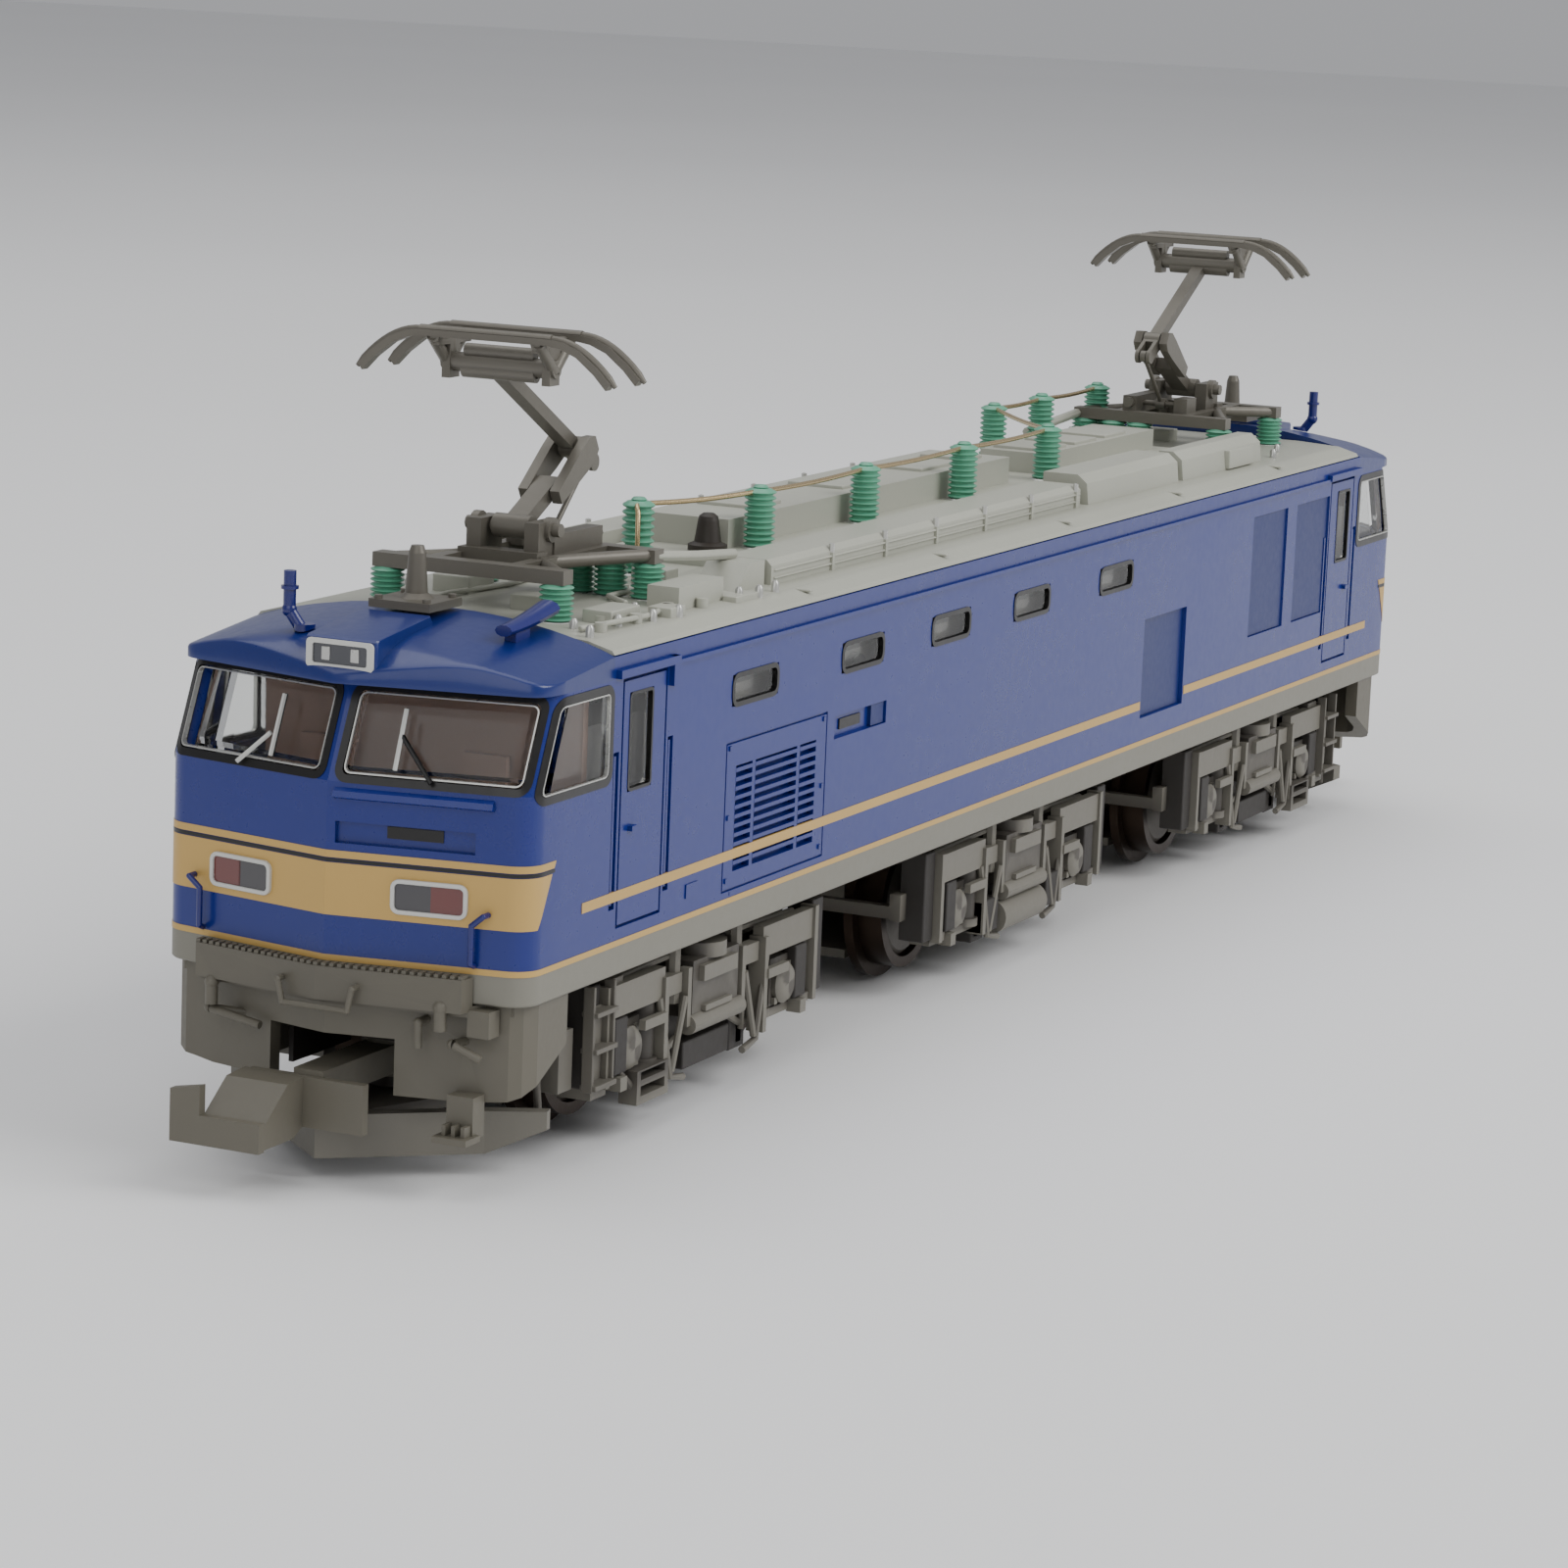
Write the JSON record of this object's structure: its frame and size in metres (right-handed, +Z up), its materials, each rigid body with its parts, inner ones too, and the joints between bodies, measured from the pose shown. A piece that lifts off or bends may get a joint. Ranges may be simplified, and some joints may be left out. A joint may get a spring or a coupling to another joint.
{
  "type": "model electric locomotive",
  "caption": "Small-scale model electric locomotive with bogies, raised pantographs, couplers and a motor drive inside.",
  "frame": {"origin": "middle of the locomotive, level with the bottoms of the wheel flanges", "axes": "X along the locomotive with the front cab at -X, Y across it, Z up"},
  "size_m": [0.1382, 0.0198, 0.0386],
  "materials": {
    "blue_paint": "gloss",
    "light_grey": "satin",
    "clear": "clear",
    "lens": "tinted",
    "rail_blue": "gloss",
    "skirt_grey": "satin",
    "interior_grey": "matt",
    "green_insulator": "satin",
    "copper": "bright",
    "dark_grey": "matt",
    "pantograph_grey": "satin",
    "die_cast": "as cast",
    "steel": "machined",
    "brass": "turned",
    "board_green": "matt",
    "bogie_grey": "matt",
    "gear_plastic": "matt",
    "wheel_metal": "blackened"
  },
  "bodies": {
    "locomotive": {"body_shell": "blue_paint", "cab_glazing_front": "clear", "cab_glazing_rear": "clear", "side_glazing": "clear", "lamp_lenses": "lens", "corner_handrails": "rail_blue", "skirt_front": "skirt_grey", "skirt_rear": "skirt_grey", "whistles": "rail_blue", "horn_covers": "rail_blue", "radio_antennas": "pantograph_grey", "cab_interiors": "interior_grey", "roof_panel": "light_grey", "roof_equipment": "light_grey", "roof_insulators": "green_insulator", "bus_wire": "copper", "lightning_arrester": "dark_grey", "pantograph_front_base_frame": "pantograph_grey", "pantograph_rear_base_frame": "pantograph_grey", "chassis_left": "die_cast", "chassis_right": "die_cast", "chassis_screws": "steel", "circuit_board": "board_green", "pickup_strips": "copper", "motor_housing": "steel", "coupler_mounts": "dark_grey"},
    "motor_rotor": {"motor_rotor": "steel", "flywheels": "brass"},
    "cardan_front": {"cardan_shaft_front": "gear_plastic"},
    "bogie_front": {"bogie_front_frame": "bogie_grey", "bogie_front_side_frames": "bogie_grey"},
    "worm_front": {"bogie_front_worm": "brass"},
    "centre_gear_front": {"bogie_front_centre_gear": "gear_plastic"},
    "outer_idler_front": {"bogie_front_outer_idler": "gear_plastic"},
    "outer_wheelset_front": {"bogie_front_outer_wheelset": "wheel_metal"},
    "inner_idler_front": {"bogie_front_inner_idler": "gear_plastic"},
    "inner_wheelset_front": {"bogie_front_inner_wheelset": "wheel_metal"},
    "coupler_front": {"coupler_front": "skirt_grey"},
    "pantograph_front_lower_arm": {"pantograph_front_lower_arm": "pantograph_grey"},
    "pantograph_front_upper_arm": {"pantograph_front_upper_arm": "pantograph_grey"},
    "pantograph_front_head": {"pantograph_front_head": "pantograph_grey"},
    "pantograph_front_link_rod": {"pantograph_front_link_rod": "pantograph_grey"},
    "cardan_rear": {"cardan_shaft_rear": "gear_plastic"},
    "bogie_rear": {"bogie_rear_frame": "bogie_grey", "bogie_rear_side_frames": "bogie_grey"},
    "worm_rear": {"bogie_rear_worm": "brass"},
    "centre_gear_rear": {"bogie_rear_centre_gear": "gear_plastic"},
    "outer_idler_rear": {"bogie_rear_outer_idler": "gear_plastic"},
    "outer_wheelset_rear": {"bogie_rear_outer_wheelset": "wheel_metal"},
    "inner_idler_rear": {"bogie_rear_inner_idler": "gear_plastic"},
    "inner_wheelset_rear": {"bogie_rear_inner_wheelset": "wheel_metal"},
    "coupler_rear": {"coupler_rear": "skirt_grey"},
    "pantograph_rear_lower_arm": {"pantograph_rear_lower_arm": "pantograph_grey"},
    "pantograph_rear_upper_arm": {"pantograph_rear_upper_arm": "pantograph_grey"},
    "pantograph_rear_head": {"pantograph_rear_head": "pantograph_grey"},
    "pantograph_rear_link_rod": {"pantograph_rear_link_rod": "pantograph_grey"},
    "bogie_middle": {"bogie_middle_frame": "bogie_grey", "bogie_middle_side_frames": "bogie_grey"},
    "middle_wheelset_front": {"bogie_middle_front_wheelset": "wheel_metal"},
    "middle_wheelset_rear": {"bogie_middle_rear_wheelset": "wheel_metal"}
  },
  "joints": [
    {"name": "motor_spin", "type": "hinge", "parent": "locomotive", "child": "motor_rotor", "pos_m": [0, 0, 0.01497], "axis": [1, 0, 0], "continuous": true},
    {"name": "cardan_front_spin", "type": "hinge", "parent": "locomotive", "child": "cardan_front", "pos_m": [0, 0, 0.01497], "axis": [1, 0, 0], "continuous": true},
    {"name": "bogie_front_swivel", "type": "hinge", "parent": "locomotive", "child": "bogie_front", "pos_m": [-0.0403, 0, 0.0175], "axis": [0, 0, 1], "range_deg": [-5, 5]},
    {"name": "worm_front_spin", "type": "hinge", "parent": "bogie_front", "child": "worm_front", "pos_m": [-0.0403, 0, 0.01497], "axis": [1, 0, 0], "continuous": true},
    {"name": "centre_gear_front_spin", "type": "hinge", "parent": "bogie_front", "child": "centre_gear_front", "pos_m": [-0.0403, 0, 0.01087], "axis": [0, 1, 0], "continuous": true},
    {"name": "outer_idler_front_spin", "type": "hinge", "parent": "bogie_front", "child": "outer_idler_front", "pos_m": [-0.0447, 0, 0.00763], "axis": [0, 1, 0], "continuous": true},
    {"name": "outer_wheelset_front_spin", "type": "hinge", "parent": "bogie_front", "child": "outer_wheelset_front", "pos_m": [-0.0491, 0, 0.0044], "axis": [0, 1, 0], "continuous": true},
    {"name": "inner_idler_front_spin", "type": "hinge", "parent": "bogie_front", "child": "inner_idler_front", "pos_m": [-0.0359, 0, 0.00763], "axis": [0, 1, 0], "continuous": true},
    {"name": "inner_wheelset_front_spin", "type": "hinge", "parent": "bogie_front", "child": "inner_wheelset_front", "pos_m": [-0.0315, 0, 0.0044], "axis": [0, 1, 0], "continuous": true},
    {"name": "coupler_front_swing", "type": "hinge", "parent": "locomotive", "child": "coupler_front", "pos_m": [-0.057, 0, 0.0046], "axis": [0, 0, 1], "range_deg": [-8, 8]},
    {"name": "pantograph_front_fold", "type": "hinge", "parent": "locomotive", "child": "pantograph_front_lower_arm", "pos_m": [-0.0463, 0, 0.0289], "axis": [0, 1, 0], "range_deg": [0, 22]},
    {"name": "pantograph_front_knee", "type": "hinge", "parent": "pantograph_front_lower_arm", "child": "pantograph_front_upper_arm", "pos_m": [-0.0404, 0, 0.0323], "axis": [0, 1, 0], "range_deg": [-44.5, 0.5]},
    {"name": "pantograph_front_head_pivot", "type": "hinge", "parent": "pantograph_front_upper_arm", "child": "pantograph_front_head", "pos_m": [-0.0482, 0, 0.0366], "axis": [0, 1, 0], "range_deg": [-0.5, 22.5]},
    {"name": "pantograph_front_link", "type": "hinge", "parent": "locomotive", "child": "pantograph_front_link_rod", "pos_m": [-0.0424, 0, 0.0281], "axis": [0, 1, 0], "range_deg": [-0.5, 25.58]},
    {"name": "cardan_rear_spin", "type": "hinge", "parent": "locomotive", "child": "cardan_rear", "pos_m": [0, 0, 0.01497], "axis": [1, 0, 0], "continuous": true},
    {"name": "bogie_rear_swivel", "type": "hinge", "parent": "locomotive", "child": "bogie_rear", "pos_m": [0.0403, 0, 0.0175], "axis": [0, 0, 1], "range_deg": [-5, 5]},
    {"name": "worm_rear_spin", "type": "hinge", "parent": "bogie_rear", "child": "worm_rear", "pos_m": [0.0403, 0, 0.01497], "axis": [1, 0, 0], "continuous": true},
    {"name": "centre_gear_rear_spin", "type": "hinge", "parent": "bogie_rear", "child": "centre_gear_rear", "pos_m": [0.0403, 0, 0.01087], "axis": [0, 1, 0], "continuous": true},
    {"name": "outer_idler_rear_spin", "type": "hinge", "parent": "bogie_rear", "child": "outer_idler_rear", "pos_m": [0.0447, 0, 0.00763], "axis": [0, 1, 0], "continuous": true},
    {"name": "outer_wheelset_rear_spin", "type": "hinge", "parent": "bogie_rear", "child": "outer_wheelset_rear", "pos_m": [0.0491, 0, 0.0044], "axis": [0, 1, 0], "continuous": true},
    {"name": "inner_idler_rear_spin", "type": "hinge", "parent": "bogie_rear", "child": "inner_idler_rear", "pos_m": [0.0359, 0, 0.00763], "axis": [0, 1, 0], "continuous": true},
    {"name": "inner_wheelset_rear_spin", "type": "hinge", "parent": "bogie_rear", "child": "inner_wheelset_rear", "pos_m": [0.0315, 0, 0.0044], "axis": [0, 1, 0], "continuous": true},
    {"name": "coupler_rear_swing", "type": "hinge", "parent": "locomotive", "child": "coupler_rear", "pos_m": [0.057, 0, 0.0046], "axis": [0, 0, 1], "range_deg": [-8, 8]},
    {"name": "pantograph_rear_fold", "type": "hinge", "parent": "locomotive", "child": "pantograph_rear_lower_arm", "pos_m": [0.0463, 0, 0.0289], "axis": [0, -1, 0], "range_deg": [0, 22]},
    {"name": "pantograph_rear_knee", "type": "hinge", "parent": "pantograph_rear_lower_arm", "child": "pantograph_rear_upper_arm", "pos_m": [0.0404, 0, 0.0323], "axis": [0, -1, 0], "range_deg": [-44.5, 0.5]},
    {"name": "pantograph_rear_head_pivot", "type": "hinge", "parent": "pantograph_rear_upper_arm", "child": "pantograph_rear_head", "pos_m": [0.0482, 0, 0.0366], "axis": [0, -1, 0], "range_deg": [-0.5, 22.5]},
    {"name": "pantograph_rear_link", "type": "hinge", "parent": "locomotive", "child": "pantograph_rear_link_rod", "pos_m": [0.0424, 0, 0.0281], "axis": [0, -1, 0], "range_deg": [-0.5, 25.58]},
    {"name": "bogie_middle_swivel", "type": "hinge", "parent": "locomotive", "child": "bogie_middle", "pos_m": [0, 0, 0.009], "axis": [0, 0, 1], "range_deg": [-4, 4]},
    {"name": "middle_wheelset_front_spin", "type": "hinge", "parent": "bogie_middle", "child": "middle_wheelset_front", "pos_m": [-0.0088, 0, 0.0044], "axis": [0, 1, 0], "continuous": true},
    {"name": "middle_wheelset_rear_spin", "type": "hinge", "parent": "bogie_middle", "child": "middle_wheelset_rear", "pos_m": [0.0088, 0, 0.0044], "axis": [0, 1, 0], "continuous": true}
  ],
  "couplings": [
    {"joint": "cardan_front_spin", "follows": "motor_spin", "ratio": 1},
    {"joint": "worm_front_spin", "follows": "motor_spin", "ratio": 1},
    {"joint": "centre_gear_front_spin", "follows": "motor_spin", "ratio": -0.05},
    {"joint": "outer_idler_front_spin", "follows": "motor_spin", "ratio": 0.045455},
    {"joint": "outer_wheelset_front_spin", "follows": "motor_spin", "ratio": -0.05},
    {"joint": "inner_idler_front_spin", "follows": "motor_spin", "ratio": 0.045455},
    {"joint": "inner_wheelset_front_spin", "follows": "motor_spin", "ratio": -0.05},
    {"joint": "pantograph_front_knee", "follows": "pantograph_front_fold", "ratio": -2},
    {"joint": "pantograph_front_head_pivot", "follows": "pantograph_front_fold", "ratio": 1},
    {"joint": "pantograph_front_link", "follows": "pantograph_front_fold", "ratio": 1.14},
    {"joint": "cardan_rear_spin", "follows": "motor_spin", "ratio": 1},
    {"joint": "worm_rear_spin", "follows": "motor_spin", "ratio": 1},
    {"joint": "centre_gear_rear_spin", "follows": "motor_spin", "ratio": -0.05},
    {"joint": "outer_idler_rear_spin", "follows": "motor_spin", "ratio": 0.045455},
    {"joint": "outer_wheelset_rear_spin", "follows": "motor_spin", "ratio": -0.05},
    {"joint": "inner_idler_rear_spin", "follows": "motor_spin", "ratio": 0.045455},
    {"joint": "inner_wheelset_rear_spin", "follows": "motor_spin", "ratio": -0.05},
    {"joint": "pantograph_rear_knee", "follows": "pantograph_rear_fold", "ratio": -2},
    {"joint": "pantograph_rear_head_pivot", "follows": "pantograph_rear_fold", "ratio": 1},
    {"joint": "pantograph_rear_link", "follows": "pantograph_rear_fold", "ratio": 1.14}
  ]
}
